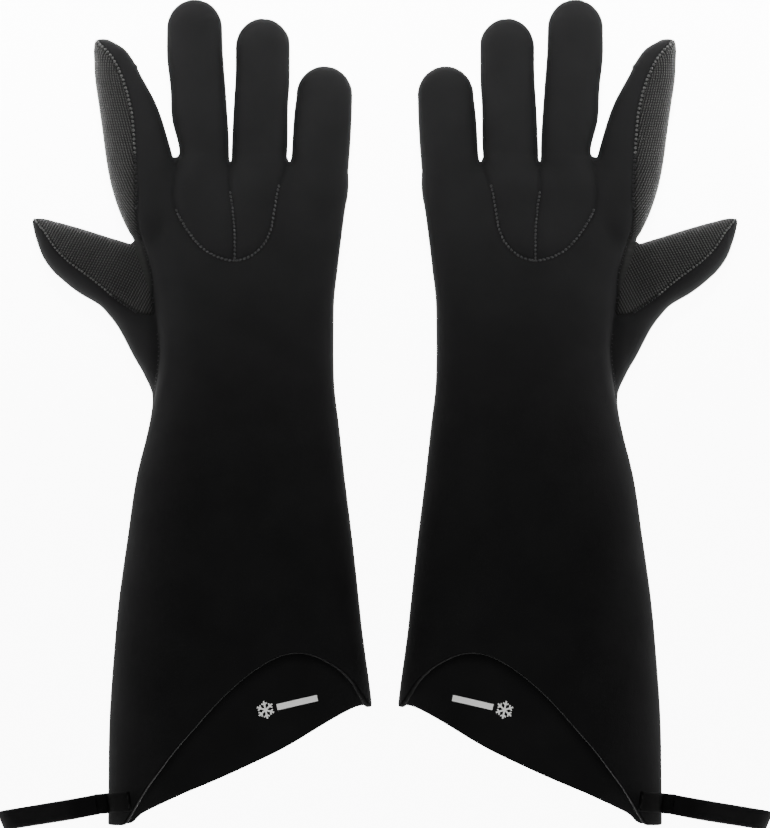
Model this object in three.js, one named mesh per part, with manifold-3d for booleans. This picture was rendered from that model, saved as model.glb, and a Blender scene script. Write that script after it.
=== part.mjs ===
// A pair of five-finger neoprene gauntlet gloves, lying palm down with the fingers away from the viewer.
// Millimetres. +Z is up from the table, +Y runs from the cuffs to the fingertips, and the two gloves are
// mirror images about the plane X = 0. The origin is on the table, under the middle of the pair.
// The right-hand glove (on the -X side) is drawn, and the left-hand glove is its mirror image.
// Each glove is a hollow shell: an outer form less an inner one. The sewn panels are that shell, divided
// along the seams and at the places where it bends.
import * as THREE from "three";
import { mergeVertices } from "three/addons/utils/BufferGeometryUtils.js";
import Module from "manifold-3d";

const wasm = await Module();
wasm.setup();

// ---- driving dimensions ----
const WALL = 3.5; // jersey-faced neoprene sheet
const GAP = 0.35; // free space left between neighbouring panels
const CUFF_Y = -215.2; // lowest edge of the cuff
const WRIST = { low: -19, high: 3 }; // the soft band that bends at the wrist
const ROUND = 2.4; // exponent of the superellipse used for every cross-section
const STITCH = { lift: 0.35, height: 0.8, width: 2.0 }; // seam thread, standing proud of the panels
const TIP_STEPS = [0.45, 0.8, 0.97]; // where a round fingertip has its sections, as shares of its length
const TIP_REACH = 30; // an inset form is shortened over this distance from its end
const STRAP = { width: 11.4, thick: 2.4 }; // webbing of the hanging loop
const FAR = 260; // larger than the object, for cutting tools

const PLAIN = { color: 0x161616, roughness: 0.85, metalness: 0 };
const GRIP = { color: 0x2a2a29, roughness: 0.6, metalness: 0 };
const THREAD = { color: 0x3a3a38, roughness: 0.7, metalness: 0 };

const UP = new THREE.Vector3(0, 0, 1);
const AHEAD = new THREE.Vector3(0, 1, 0);
const ORIGIN = new THREE.Vector3();

// ---- outer form: each station is [distance along, low side, high side, underside, top] ----
const SLEEVE_AND_HAND = {
  at: ORIGIN,
  along: AHEAD,
  around: 20,
  stations: [
    [-215.2, -144.7, -6.4, -2, 50],
    [-150, -143.6, -6.9, -2, 50],
    [-97, -138.9, -13.8, -2, 48],
    [-35, -130.0, -21.1, -2, 44],
    [-3, -123.2, -24.2, -2, 41],
    [28, -121.8, -26.8, -2, 40],
    [60, -123.0, -26.9, -2, 39],
    [91, -129.0, -22.1, 0, 35],
    [112, -131.0, -20.8, 1, 31],
    [126, -130.0, -20.0, 2, 28],
    [131, -127.0, -23.0, 5, 23],
  ],
};

// The heel of the thumb, between the wrist and the thumb.
const HEEL = {
  at: ORIGIN,
  along: AHEAD,
  around: 10,
  stations: [
    [4, -121.2, -98, 6, 24],
    [14, -122.8, -98, 2, 25],
    [28, -131.0, -98, 1, 26],
    [44, -139.4, -100, 0.6, 26],
    [55, -145.4, -98, 0.6, 27],
    [64, -145.0, -98, 2, 27],
  ],
};

const THUMB_TURN = THREE.MathUtils.degToRad(28); // above the -X direction
const THUMB = {
  at: new THREE.Vector3(-137, 73, 0),
  along: new THREE.Vector3(-Math.cos(THUMB_TURN), Math.sin(THUMB_TURN), 0),
  around: 10,
  stations: [
    [-26, -10, 10, 8, 26],
    [-8, -21.5, 16, 0.6, 26],
    [5.4, -19.7, 15.2, 0.6, 26],
    [16.3, -19.1, 13.2, 0.8, 25],
    [26.4, -17.0, 11.6, 1.2, 24],
    [35.1, -14.8, 9.9, 1.8, 22.5],
    [42.8, -10.5, 8.2, 2.6, 20.5],
    [48.6, -5.3, 6.6, 4.2, 18],
    [53.2, -0.6, 5.4, 6.8, 15],
    [55.3, 2.4, 4.8, 9.4, 12],
  ],
};

// The index finger is turned on its own axis, so its tip is drawn out to the seam on one side.
const INDEX = {
  at: ORIGIN,
  along: AHEAD,
  around: 10,
  stations: [
    [88, -124.5, -113, 9, 24],
    [99, -136.3, -111.5, 2, 31],
    [114.7, -142.1, -110.5, 2, 29],
    [130.4, -145.7, -110, 2, 27.5],
    [146.1, -147.8, -114.3, 2, 26.5],
    [161.8, -149.9, -119.5, 2, 26],
    [177.5, -151.9, -127.9, 2.4, 24.5],
    [186.5, -152.0, -133.2, 3.6, 22.5],
    [192.6, -151.8, -138.8, 6, 19.5],
    [195.6, -150.6, -144.6, 9.5, 15.5],
  ],
};

// The other fingers end in a round tip: a quarter ellipse beyond the last station.
const MIDDLE = {
  at: ORIGIN,
  along: AHEAD,
  around: 10,
  tip: 15.15,
  stations: [
    [100, -108.6, -82.6, 3, 32],
    [122, -108.2, -82.0, 2, 29],
    [138.2, -107.7, -81.6, 2, 27.5],
    [154, -111.6, -82.3, 2, 27],
    [170, -112.4, -83.4, 2, 26],
    [202.1, -114.4, -85.0, 2.4, 25],
  ],
};
const RING = {
  at: ORIGIN,
  along: AHEAD,
  around: 10,
  tip: 14.7,
  stations: [
    [100, -81.4, -54.6, 3, 32],
    [122, -81.0, -52.6, 2, 29],
    [138.2, -80.4, -51.0, 2, 27.5],
    [170, -78.8, -50.3, 2, 26],
    [191.6, -78.4, -49.2, 2.4, 25],
  ],
};
const LITTLE = {
  at: ORIGIN,
  along: AHEAD,
  around: 10,
  tip: 14.5,
  stations: [
    [100, -50.4, -21.4, 3, 31],
    [122.5, -49.8, -20.1, 2, 28],
    [138.2, -48.7, -18.5, 2, 26.5],
    [154, -47.6, -17.3, 2, 25.5],
    [167.2, -46.0, -17.0, 2.4, 24],
  ],
};
const FINGERS = { index: INDEX, middle: MIDDLE, ring: RING, little: LITTLE };

// ---- seams and edges, as lines on the plan (X, Y) ----
// The grip fabric meets the back panel along this line, from the wrist to the tip of the index finger.
const INDEX_SEAM = [
  [-121.4, 3], [-121.6, 48], [-123.2, 62], [-126.4, 76], [-129.0, 91], [-129.2, 112], [-129.5, 136],
  [-131.1, 154], [-135.2, 172], [-141.5, 185.4], [-152.5, 196.5],
];
// The grip fabric ends along this line: across the palm, then up the thumb to its tip.
const THUMB_SEAM = [
  [-122, 52], [-130, 53.6], [-136, 58.6], [-145.2, 64.9], [-155, 71.8], [-164.4, 79.6],
  [-172.4, 87], [-178.6, 95], [-186, 104],
];
// The two knuckle inserts, which carry the backs of the middle and ring fingers.
const KNUCKLE_SEAM = [
  [-108.6, 136], [-110, 126], [-110.2, 116], [-108, 105], [-103.4, 96], [-97, 87.4], [-89.5, 82],
  [-80, 79.7], [-70.3, 82.2], [-62.6, 89], [-59, 98], [-57, 110], [-54.6, 121], [-50.6, 131],
];
const KNUCKLE_MIDLINE = [[-78.6, 70], [-78.4, 92], [-79.6, 110], [-81.4, 124], [-81, 150]];
// The back of the cuff is cut away in an arch, and the palm side runs on to a slanting hem.
const BACK_HEM = [
  [-134.6, CUFF_Y], [-128.8, -201.7], [-115.7, -182.8], [-97, -161.2], [-73.3, -137.3], [-58, -127.4],
  [-44.7, -124.1], [-32, -127], [-20.4, -134.6], [-12.7, -143.9], [-5, -157],
];
const PALM_HEM = [
  [-132.1, CUFF_Y], [-129.5, -210.6], [-124.3, -207.3], [-88.6, -191.6], [-55.1, -175.9],
  [-28.4, -160.2], [-16, -153.6], [-4, -152],
];
// Height of the side seams, as [distance along, height].
const SIDE_SEAM = [[-FAR, 25.2], [-97, 24], [3, 20.5], [60, 20], [100, 17], [136, 14.6], [FAR, 13.6]];

// ---- where the shell bends: the near edge of each finger, as [left, right] on the plan ----
const KNUCKLE_LINE = {
  index: [[-156, 127.8], [-110.2, 141.7], [-122, 215], [-170, 215]],
  middle: [[-109.2, 134.9], [-81, 137], [-81.6, 225], [-122, 225]],
  ring: [[-81, 136.4], [-50, 135.6], [-46, 225], [-81.6, 225]],
  little: [[-49.8, 137.1], [-10, 134.3], [-6, 225], [-45, 225]],
};

// ---- solids ----
function toSolid(geometry) {
  const loose = geometry.index ? geometry.toNonIndexed() : geometry;
  const bare = new THREE.BufferGeometry().setAttribute("position", loose.getAttribute("position"));
  const merged = mergeVertices(bare, 1e-4);
  return new wasm.Manifold(
    new wasm.Mesh({
      numProp: 3,
      vertProperties: new Float32Array(merged.attributes.position.array),
      triVerts: new Uint32Array(merged.index.array),
    }),
  );
}

function toGeometry(solid) {
  const mesh = solid.getMesh();
  const position = new Float32Array(mesh.numVert * 3);
  for (let i = 0; i < mesh.numVert; i++) {
    position.set(mesh.vertProperties.subarray(i * mesh.numProp, i * mesh.numProp + 3), i * 3);
  }
  return new THREE.BufferGeometry()
    .setAttribute("position", new THREE.BufferAttribute(position, 3))
    .setIndex(new THREE.BufferAttribute(new Uint32Array(mesh.triVerts), 1));
}

// Adds the sections of a rounded tip to a finger's stations.
function withTip({ stations, tip }) {
  if (!tip) return stations;
  const [s, lo, hi, under, top] = stations.at(-1);
  const [x, z] = [(lo + hi) / 2, (under + top) / 2];
  const round = TIP_STEPS.map((share) => {
    const left = Math.sqrt(1 - share * share);
    const [a, b] = [((hi - lo) / 2) * left, ((top - under) / 2) * left];
    return [s + share * tip, x - a, x + a, z - b, z + b];
  });
  return [...stations, ...round];
}

// Moves a section in by the inset. A small section is never turned inside out.
function moveIn([s, lo, hi, under, top], end, inset) {
  const late = Math.max(0, 1 - (end - s) / TIP_REACH);
  const span = (a, b) => {
    const reach = Math.max((b - a) / 2 - inset, (b - a) / 8);
    return [(a + b) / 2 - reach, (a + b) / 2 + reach];
  };
  return [s - inset * late, ...span(lo, hi), ...span(under, top)];
}

// A cylinder whose rings are reshaped to superellipses, one for each station. A positive inset shrinks it.
// What would reach below the table is flattened on it.
function loft(form, inset = 0, open = false) {
  const whole = withTip(form);
  const stations = whole.map((station) => moveIn(station, whole.at(-1)[0], inset));
  if (open) stations[0][0] -= 10;
  const across = new THREE.Vector3().crossVectors(form.along, UP);
  const geometry = new THREE.CylinderGeometry(1, 1, 1, form.around, stations.length - 1);
  const place = geometry.getAttribute("position");
  const squared = (v) => Math.sign(v) * Math.abs(v) ** (2 / ROUND);
  for (let i = 0; i < place.count; i++) {
    const step = Math.round((place.getY(i) + 0.5) * (stations.length - 1));
    const [s, lo, hi, under, top] = stations[step];
    const side = (lo + hi) / 2 + ((hi - lo) / 2) * squared(place.getX(i));
    const height = (under + top) / 2 + ((top - under) / 2) * squared(place.getZ(i));
    const point = form.at.clone().addScaledVector(form.along, s);
    point.addScaledVector(across, side).addScaledVector(UP, Math.max(height, inset));
    place.setXYZ(i, point.x, point.y, point.z);
  }
  return toSolid(geometry);
}

// A whole glove's form, larger or smaller by the inset.
function gloveForm(inset = 0, open = false) {
  let form = loft(SLEEVE_AND_HAND, inset, open);
  for (const part of [HEEL, THUMB, ...Object.values(FINGERS)]) form = form.add(loft(part, inset));
  return form;
}

const corners = (points) => points.map(([x, y]) => new THREE.Vector2(x, y));

// A vertical prism over an outline on the plan.
function column(outline, low = -FAR, high = FAR) {
  const geometry = new THREE.ExtrudeGeometry(new THREE.Shape(outline), {
    depth: high - low,
    bevelEnabled: false,
  });
  return toSolid(geometry.translate(0, 0, low));
}

// Everything above the side seams, or a little above or below them.
function aboveSideSeam(lift = 0) {
  const line = SIDE_SEAM.map(([y, z]) => new THREE.Vector2(y, z + lift));
  const shape = new THREE.Shape([...line, new THREE.Vector2(FAR, FAR), new THREE.Vector2(-FAR, FAR)]);
  const geometry = new THREE.ExtrudeGeometry(shape, { depth: 2 * FAR, bevelEnabled: false });
  // The outline lies in Y and Z, and is drawn out along X.
  const turn = new THREE.Matrix4().makeBasis(AHEAD, UP, new THREE.Vector3(1, 0, 0));
  return toSolid(geometry.applyMatrix4(turn).translate(-FAR, 0, 0));
}

// Everything on the far side of a line across the glove.
const beyond = (y, top = FAR) => column(corners([[-FAR, y], [FAR, y], [FAR, top], [-FAR, top]]));

// A band of a given width along a line on the plan.
function band(line, width) {
  const side = (sign) =>
    line.map((p, i) => {
      const ahead = line[Math.min(i + 1, line.length - 1)].clone();
      ahead.sub(line[Math.max(i - 1, 0)]).normalize();
      return new THREE.Vector2(p.x - ahead.y * sign, p.y + ahead.x * sign);
    });
  const half = width / 2;
  return [...side(-half), ...side(half).reverse()];
}

// The zone of one finger, moved ahead by a clearance.
function fingerZone(name, clearance) {
  const [a, b, c, d] = corners(KNUCKLE_LINE[name]);
  const ahead = new THREE.Vector2(a.y - b.y, b.x - a.x).normalize().multiplyScalar(clearance);
  return column([a.add(ahead), b.add(ahead), c, d]);
}

// The zone of the thumb, on the plan, starting a clearance beyond its knuckle.
function thumbZone(clearance) {
  const across = new THREE.Vector3().crossVectors(THUMB.along, UP);
  const outline = [[clearance, -40], [85, -40], [85, 26], [12, 19], [clearance, 16.5]];
  return column(
    outline.map(([s, c]) => {
      const p = THUMB.at.clone().addScaledVector(THUMB.along, s).addScaledVector(across, c);
      return new THREE.Vector2(p.x, p.y);
    }),
  );
}

// What lies on the high-X side of the index seam and above the side seams: the back of the glove.
function backZone(grow = 0) {
  const seam = corners(INDEX_SEAM).map((p) => new THREE.Vector2(p.x - grow, p.y));
  const plan = column([...corners([[-121.4 - grow, -FAR]]), ...seam, ...corners([[FAR, FAR], [FAR, -FAR]])]);
  return plan.intersect(aboveSideSeam(-grow));
}

// The grip fabric's side of the thumb seam.
function gripZone(shift = 0) {
  const seam = corners(THUMB_SEAM).map((p) => new THREE.Vector2(p.x, p.y + shift));
  const outer = corners([[-FAR, 104 + shift], [-FAR, FAR], [FAR, FAR], [FAR, 52 + shift]]);
  return column([...seam, ...outer]);
}

// ---- the shell and its zones ----
const shell = gloveForm().subtract(gloveForm(WALL, true));
const half = GAP / 2;
const backSide = backZone();
const palmSideCut = backZone(GAP);
const fingerCut = Object.keys(FINGERS)
  .map((name) => fingerZone(name, -half))
  .reduce((a, b) => a.add(b));
const hand = shell.intersect(beyond(WRIST.high + half)).subtract(fingerCut).subtract(thumbZone(-half));

const knuckleOutline = (points) => [...points, ...corners([[-50, 150], [-109, 150]])];
const knuckles = column(knuckleOutline(corners(KNUCKLE_SEAM)));
const knuckleCut = column(
  knuckleOutline(
    corners(KNUCKLE_SEAM).map((p) => {
      const out = p.clone().sub(new THREE.Vector2(-82, 118)).normalize();
      return p.clone().addScaledVector(out, GAP * 1.4);
    }),
  ),
);
const leftOfMidline = (shift) =>
  column([
    ...corners(KNUCKLE_MIDLINE).map((p) => new THREE.Vector2(p.x + shift, p.y)),
    ...corners([[-FAR, 150], [-FAR, 70]]),
  ]);

function handPanels() {
  const back = hand.intersect(backSide);
  const palm = hand.subtract(palmSideCut);
  const inserts = back.intersect(knuckles);
  return {
    hand_back_panel: [back.subtract(knuckleCut), PLAIN],
    middle_knuckle_insert: [inserts.intersect(leftOfMidline(-half)), PLAIN],
    ring_knuckle_insert: [inserts.subtract(leftOfMidline(half)), PLAIN],
    palm_grip_panel: [palm.intersect(gripZone(half)), GRIP],
    palm_heel_panel: [palm.subtract(gripZone(-half)), PLAIN],
  };
}

function fingerPanels(name) {
  const finger = shell.intersect(fingerZone(name, half));
  return {
    [name + "_finger_back"]: [finger.intersect(backSide), PLAIN],
    [name + "_finger_grip"]: [finger.subtract(palmSideCut), GRIP],
  };
}

function thumbPanels() {
  const thumb = shell.intersect(thumbZone(half));
  return {
    thumb_grip: [thumb.intersect(gripZone(half)), GRIP],
    thumb_back: [thumb.subtract(gripZone(-half)), PLAIN],
  };
}

function wristBand() {
  return { wrist_band: [shell.intersect(beyond(WRIST.low + half, WRIST.high - half)), PLAIN] };
}

function gauntletPanels() {
  const gauntlet = shell.intersect(beyond(-FAR, WRIST.low - half));
  const above = (hem) => {
    const line = corners(hem);
    const ends = corners([[FAR, line.at(-1).y], [FAR, FAR], [-FAR, FAR], [-FAR, CUFF_Y]]);
    return column([...line, ...ends]);
  };
  return {
    gauntlet_back_panel: [gauntlet.intersect(aboveSideSeam(half)).intersect(above(BACK_HEM)), PLAIN],
    gauntlet_palm_panel: [gauntlet.subtract(aboveSideSeam(-half)).intersect(above(PALM_HEM)), PLAIN],
  };
}

// Seam thread, as a low ridge that follows the outer surface along a seam.
function stitching() {
  const ridge = gloveForm(-STITCH.lift - STITCH.height).subtract(gloveForm(-STITCH.lift));
  const along = (line, zone) =>
    ridge.intersect(column(band(line, STITCH.width), 12, FAR)).intersect(zone);
  const seam = corners(INDEX_SEAM);
  const handZone = beyond(44).subtract(fingerZone("index", -1));
  const knuckleLine = corners(KNUCKLE_SEAM).slice(1, -1);
  const midline = corners([[-78.5, 80], ...KNUCKLE_MIDLINE.slice(1, -1)]);
  const back = column(band(knuckleLine, STITCH.width), 20, FAR).add(
    column(band(midline, STITCH.width), 20, FAR),
  );
  const thumbLine = corners(THUMB_SEAM);
  return {
    back_seam_stitching: [ridge.intersect(back), THREAD],
    palm_edge_stitching: [along(seam, handZone), THREAD],
    index_seam_stitching: [along(seam, fingerZone("index", 1).subtract(beyond(190))), THREAD],
    thumb_seam_stitching: [along(thumbLine, thumbZone(1).subtract(beyond(96))), THREAD],
  };
}

// The hanging loop: a tab sewn round the edge of the cuff, and a folded strap that stands out from it.
const LOOP = { at: [-149.6, -203.91], turn: THREE.MathUtils.degToRad(8), rise: 30 };

function loopTab() {
  const skin = gloveForm(-GAP - 2 * STRAP.thick * 0.7).subtract(gloveForm(-GAP));
  const outline = corners([[-149, -210], [-132.6, -208.2], [-132.6, -196.8], [-149, -198.6]]);
  return { loop_tab: [skin.intersect(column(outline, 27, FAR)), PLAIN] };
}

function hangingLoop() {
  // Side view: distance out from the cuff, and height above the root of the strap.
  const outer = [[0, -1.6], [2.2, -3.4], [12, -6.6], [28, -17.4], [41, -22.8], [48, -22.6], [52, -18.4],
    [50.6, -13.6], [43, -8.8], [30, -3.4], [14, 2.2], [2.2, 2.8], [0, 1.6]];
  const eye = [[9, 0.1], [15, -0.6], [29, -5.8], [41.6, -11.2], [48, -15.2], [49.4, -18], [46.8, -20.2],
    [41.4, -20.2], [29, -14.8], [14, -4.8]];
  const shape = new THREE.Shape(corners(outer));
  shape.holes.push(new THREE.Path(corners(eye)));
  const geometry = new THREE.ExtrudeGeometry(shape, { depth: STRAP.width, bevelEnabled: false });
  const out = new THREE.Vector3(-Math.cos(LOOP.turn), -Math.sin(LOOP.turn), 0);
  const wide = new THREE.Vector3().crossVectors(out, UP);
  geometry.translate(0, 0, -STRAP.width / 2).applyMatrix4(new THREE.Matrix4().makeBasis(out, UP, wide));
  geometry.translate(LOOP.at[0], LOOP.at[1], LOOP.rise);
  return { hanging_loop: [toSolid(geometry), PLAIN] };
}

const pieces = {
  ...gauntletPanels(),
  ...wristBand(),
  ...handPanels(),
  ...Object.keys(FINGERS).reduce((all, name) => ({ ...all, ...fingerPanels(name) }), {}),
  ...thumbPanels(),
  ...stitching(),
  ...loopTab(),
  ...hangingLoop(),
};

// ---- the pair ----
function glove(side, mirrored) {
  const group = new THREE.Group();
  for (const [name, [solid, finish]] of Object.entries(pieces)) {
    const mesh = new THREE.Mesh(toGeometry(solid), new THREE.MeshStandardMaterial(finish));
    mesh.name = side + "_" + name;
    group.add(mesh);
  }
  if (mirrored) group.scale.x = -1;
  return group;
}

const pair = new THREE.Group();
pair.add(glove("right", false), glove("left", true));

export default pair;
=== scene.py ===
"""A pair of black neoprene gauntlet gloves, lying palm down, seen from straight above.

The right-hand glove (on the -X side) is shaped as one smooth skin: a voxel remesh joins rounded forms, and
the result is settled on their smooth union. The skin is then cut along its seams, hems and bends into one
piece for each CAD panel, and given its sheet thickness. The left-hand glove is the mirror image. Sizes are
in millimetres until a mesh is made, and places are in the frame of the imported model.
"""
import math

import bmesh
import bpy
import numpy as np
from mathutils import Matrix, Vector
from mathutils.bvhtree import BVHTree


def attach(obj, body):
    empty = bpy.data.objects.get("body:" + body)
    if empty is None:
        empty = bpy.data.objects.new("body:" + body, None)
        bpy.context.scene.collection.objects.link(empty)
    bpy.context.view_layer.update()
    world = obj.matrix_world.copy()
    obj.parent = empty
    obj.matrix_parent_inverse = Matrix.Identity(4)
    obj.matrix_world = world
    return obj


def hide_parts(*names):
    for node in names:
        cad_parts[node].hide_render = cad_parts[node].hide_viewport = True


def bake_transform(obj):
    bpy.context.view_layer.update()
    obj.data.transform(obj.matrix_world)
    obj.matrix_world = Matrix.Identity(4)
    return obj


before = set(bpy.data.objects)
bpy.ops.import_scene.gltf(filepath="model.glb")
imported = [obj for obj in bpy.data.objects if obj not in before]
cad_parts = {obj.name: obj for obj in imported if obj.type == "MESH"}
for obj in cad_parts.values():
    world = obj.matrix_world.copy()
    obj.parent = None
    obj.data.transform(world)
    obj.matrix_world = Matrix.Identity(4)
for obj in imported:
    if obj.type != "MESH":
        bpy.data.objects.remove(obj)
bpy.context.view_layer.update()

MM = 0.001

# ---- driving sizes, in millimetres ----
WALL = 3.4  # thickness of the jersey-faced sheet
VOXEL = 2.3  # size of the remesh that joins the forms
RELAX_STEPS = 4
SETTLE_STEPS = 6
FILLET = 2.6  # how softly two forms run into each other
SECTION_POINTS = 72
FAN = 5.0  # the fingers are spread by this while the forms are joined, so that narrow gaps stay open
FAN_RAMP = (125.0, 136.0)
FAN_SHARE = {"index": -1, "middle": -1, "ring": 0, "little": 1}
FAN_GAPS = (-81.0, -49.9)  # where the gaps on both sides of the ring finger are
ROUND = 2.35  # exponent of the superellipse that every section is
WRIST_EDGES = (-19.0, 3.0)  # where the wrist band's CAD node begins and ends
SEAM_HALF_WIDTH = 1.3
SEAM_DEPTH = 0.75
SEAM_PUFF = 0.35  # how far the sheet swells beside a seam
PUFF_AT, PUFF_WIDTH = 4.5, 2.5
INSERT_RISE = 0.7  # how far the knuckle inserts stand up
DIMPLE = 0.7  # how far the hand sinks in below the knuckle seam
DIMPLE_TOP = 92
HEM_HEIGHTS = (20, 30)  # between these the hem passes from the palm side to the back
RIM_BULGE = 0.2  # how far the cut edge stands out, as a share of the sheet's thickness
WEAVE_PITCH = 1.4  # spacing of the grip fabric's raised squares

# ---- forms: each station is (distance along, low side, high side, underside, top) ----
SLEEVE_AND_HAND = [
    (-222, -144.8, -3.5, -2, 50),
    (-190, -144.6, -5, -2, 50),
    (-150, -143.7, -7.2, -2, 50),
    (-113, -140.6, -11.9, -2, 48.5),
    (-66, -134.8, -17.4, -2, 46),
    (-34.6, -130, -21.1, -2, 44),
    (-3, -123, -24.3, -2, 41.5),
    (12.6, -120.8, -26.2, -2, 40.5),
    (28, -119.8, -26.9, -2, 40),
    (44, -120.2, -27, -1.5, 39.5),
    (60, -121.8, -26.6, -0.5, 38.5),
    (76, -124.6, -24.6, 0, 36.5),
    (91, -128.2, -22.8, 0.5, 34.5),
    (107, -130.5, -21.1, 1, 31.5),
    (122, -130.5, -19.6, 2, 28.5),
    (131.5, -127, -23, 6, 23),
]
HEEL = [
    (2, -119.5, -98, 6, 23),
    (12, -122.2, -98, 2, 25),
    (20.4, -126.3, -98, 1, 26),
    (28.3, -131, -98, 1, 26),
    (44, -139.3, -98, 0.6, 26),
    (55, -146, -98, 0.6, 26),
    (64, -146, -98, 2, 25),
]
THUMB = [
    (-26, -10, 10, 8, 24),
    (-8, -21.6, 16, 0.8, 25.5),
    (5.4, -20.2, 15.4, 0.6, 26),
    (16.3, -19.7, 13.2, 0.8, 25),
    (26.4, -17.8, 11.4, 1.2, 24),
    (35.1, -15.2, 9.8, 1.8, 22.5),
    (42.8, -10.8, 8.2, 2.6, 20.5),
    (48.6, -5.3, 6.6, 4.2, 18),
    (53.2, -0.4, 5.2, 6.8, 15),
    (55.6, 2.2, 4.6, 9.4, 12),
]
INDEX = [
    (84, -124, -114, 10, 24),
    (91.5, -131.2, -112.6, 5, 28.5),
    (99, -135.8, -111.5, 3, 30.5),
    (114.7, -142, -110.5, 2, 29),
    (130.4, -145.6, -110.6, 2, 27.5),
    (146.1, -147.8, -114.4, 2, 26.5),
    (161.8, -149.9, -119.6, 2, 26),
    (177.5, -151.9, -127.9, 2.4, 24.5),
    (186.5, -152.1, -132.8, 3.4, 22.5),
    (191.6, -152, -137.2, 5.4, 20),
    (194.6, -151.8, -142.4, 8.4, 17),
    (196, -150.8, -145.4, 10.6, 14.6),
]
MIDDLE = [
    (100, -106.6, -84.6, 6, 26),
    (122, -108.2, -82, 2, 28.5),
    (138.2, -107.7, -81.6, 2, 27.5),
    (154, -111.5, -82.4, 2, 27),
    (170, -112.4, -83.5, 2, 26),
    (186, -114.2, -84.6, 2.2, 25.5),
    (201.6, -114.3, -85.2, 2.4, 25),
]
RING = [
    (100, -79.4, -56.6, 6, 26),
    (122, -80.8, -52.4, 2, 28.5),
    (138.2, -80.2, -51, 2, 27.5),
    (161.8, -79.2, -50.8, 2, 26.5),
    (178, -78.3, -49.9, 2.2, 25.5),
    (191.2, -78.2, -49.5, 2.4, 25),
]
LITTLE = [
    (88, -44, -32, 10, 20),
    (100, -49, -25, 5, 26.5),
    (111, -50, -21.6, 3, 28),
    (122.5, -49.6, -20.1, 2, 27.5),
    (138.2, -48.8, -18.5, 2, 26.5),
    (154, -47.7, -17.4, 2, 25.5),
    (166.6, -46.2, -17, 2.4, 24),
]
TIP_LENGTHS = {"middle": 15.5, "ring": 15.5, "little": 15.4}
FINGERS = {"index": INDEX, "middle": MIDDLE, "ring": RING, "little": LITTLE}

THUMB_AT = np.array([-137.0, 73.0, 0.0])
THUMB_TURN = math.radians(28)
THUMB_ALONG = np.array([-math.cos(THUMB_TURN), math.sin(THUMB_TURN), 0.0])
THUMB_ACROSS = np.array([math.sin(THUMB_TURN), math.cos(THUMB_TURN), 0.0])
THUMB_ZONE = [(0, -60), (90, -60), (90, 26), (12, 19), (0, 16.5)]  # outline, as (along, across)

# ---- seams and edges, as lines on the plan ----
SEAM_POINTS = {
    "index": [
        (-160, -60), (-146, -40), (-134, -18), (-125.5, -2), (-121, 12), (-118.8, 26), (-118.4, 36),
        (-120, 48), (-121.4, 61), (-122, 71), (-124.8, 82), (-128.4, 94), (-129.7, 106), (-129.6, 116),
        (-130.3, 128), (-131, 142), (-132.1, 155), (-134.8, 168), (-139.4, 180.5), (-144.8, 189),
        (-153.5, 197),
    ],
    "thumb": [
        (-100, 51), (-121, 51.6), (-127.3, 51.8), (-132.5, 54.6), (-141.3, 60.6), (-150.1, 68),
        (-159, 74.8), (-165.6, 79.7), (-172.2, 86.3), (-178, 94.8), (-185.5, 104.5),
    ],
    "knuckle": [
        (-108.5, 137), (-109.7, 125), (-110.3, 114), (-108.8, 105.9), (-104.6, 98), (-99.2, 90.5),
        (-92.5, 84.4), (-85, 81), (-77, 80), (-69.4, 82.6), (-63.2, 88.4), (-59.2, 97.4), (-57.2, 110),
        (-54.8, 121), (-49.8, 136),
    ],
    "midline": [(-78.4, 76), (-78.4, 94), (-79.4, 106), (-81.0, 119), (-81.0, 138)],
    "back_hem": [
        (-146, -214.2), (-140, -214.1), (-136.4, -213.4), (-133.2, -208.6), (-129.5, -202.4),
        (-124.3, -194.2), (-118, -185.9), (-109.6, -174.9), (-100.2, -164.2), (-91, -153.8),
        (-81.3, -144), (-70.8, -135.1),
        (-60.4, -128.4), (-52, -125), (-44.7, -124.1), (-37, -125.4), (-29, -129), (-22, -133.6),
        (-15.9, -139.5), (-11.2, -146.6), (-7.5, -152.5), (-2, -158),
    ],
    "palm_hem": [
        (-146, -214.2), (-139, -214.1), (-134, -213.8), (-129.8, -210), (-124.3, -207), (-107, -199.3),
        (-88.6, -191.6), (-71.4, -183.8), (-55.1, -175.9), (-41.5, -168.1), (-28.4, -160.2), (-16, -153.6),
        (-8.5, -151.7), (-2, -151.4),
    ],
}
SIDE_SEAM = [(-260, 25.2), (-97, 24), (3, 20.5), (60, 20), (100, 17), (136, 14.6), (260, 13.6)]

# The near edge of each finger on the plan, and two far corners that hold the finger.
FINGER_ZONES = {
    "index": [(-156, 127.8), (-110.2, 141.7), (-122, 215), (-175, 215)],
    "middle": [(-109.2, 134.9), (-81, 137), (-81.6, 225), (-122, 225)],
    "ring": [(-81, 136.4), (-50, 135.6), (-46, 225), (-81.6, 225)],
    "little": [(-49.8, 137.1), (-10, 134.3), (-6, 225), (-45, 225)],
}


# ---- lines ----
def smooth_line(points, steps=8):
    """Points along a Catmull-Rom curve through the given ones."""
    p = np.asarray(points, float)
    p = np.vstack([2 * p[0] - p[1], p, 2 * p[-1] - p[-2]])
    t = np.linspace(0, 1, steps, endpoint=False)[:, None]
    spans = []
    for a, b, c, d in zip(p, p[1:], p[2:], p[3:]):
        spans.append(
            0.5 * (2 * b + (c - a) * t + (2 * a - 5 * b + 4 * c - d) * t**2 + (3 * b - a - 3 * c + d) * t**3)
        )
    return np.vstack(spans + [p[-2]])


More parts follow.
